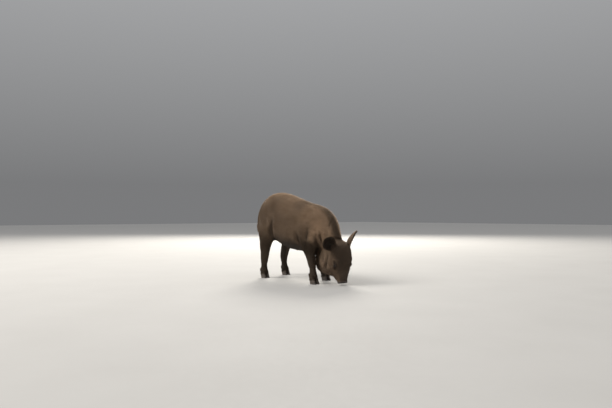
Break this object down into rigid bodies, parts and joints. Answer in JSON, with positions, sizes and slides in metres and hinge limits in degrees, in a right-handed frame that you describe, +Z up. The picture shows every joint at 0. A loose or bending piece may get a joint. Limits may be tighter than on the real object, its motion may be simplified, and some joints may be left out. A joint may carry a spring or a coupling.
{
  "type": "pig",
  "caption": "Young dark-coated grower pig standing with its head down to root, life size, a still display model on its own feet.",
  "frame": {"origin": "middle of the bounding box at floor level, between the feet", "axes": "+X the way the pig faces, from rump to nose, +Y to its left, +Z up"},
  "size_m": [0.7276, 0.2682, 0.4873],
  "materials": {
    "bristled_skin": "matte",
    "nose_skin": "satin",
    "horn": "satin",
    "eyeball": "polished"
  },
  "bodies": {
    "root": {"trunk": "bristled_skin", "neck": "bristled_skin", "head": "bristled_skin", "lower_jaw": "bristled_skin", "nose_disc": "nose_skin", "tail": "bristled_skin", "fore_leg_left": "bristled_skin", "fore_leg_right": "bristled_skin", "hind_leg_left": "bristled_skin", "hind_leg_right": "bristled_skin", "ear_left": "bristled_skin", "ear_right": "bristled_skin", "eye_left": "eyeball", "eye_right": "eyeball", "claw_fore_left_outer": "horn", "claw_fore_left_inner": "horn", "claw_fore_right_outer": "horn", "claw_fore_right_inner": "horn", "claw_hind_left_outer": "horn", "claw_hind_left_inner": "horn", "claw_hind_right_outer": "horn", "claw_hind_right_inner": "horn", "dewclaw_fore_left_outer": "horn", "dewclaw_fore_left_inner": "horn", "dewclaw_fore_right_outer": "horn", "dewclaw_fore_right_inner": "horn", "dewclaw_hind_left_outer": "horn", "dewclaw_hind_left_inner": "horn", "dewclaw_hind_right_outer": "horn", "dewclaw_hind_right_inner": "horn"}
  },
  "joints": []
}
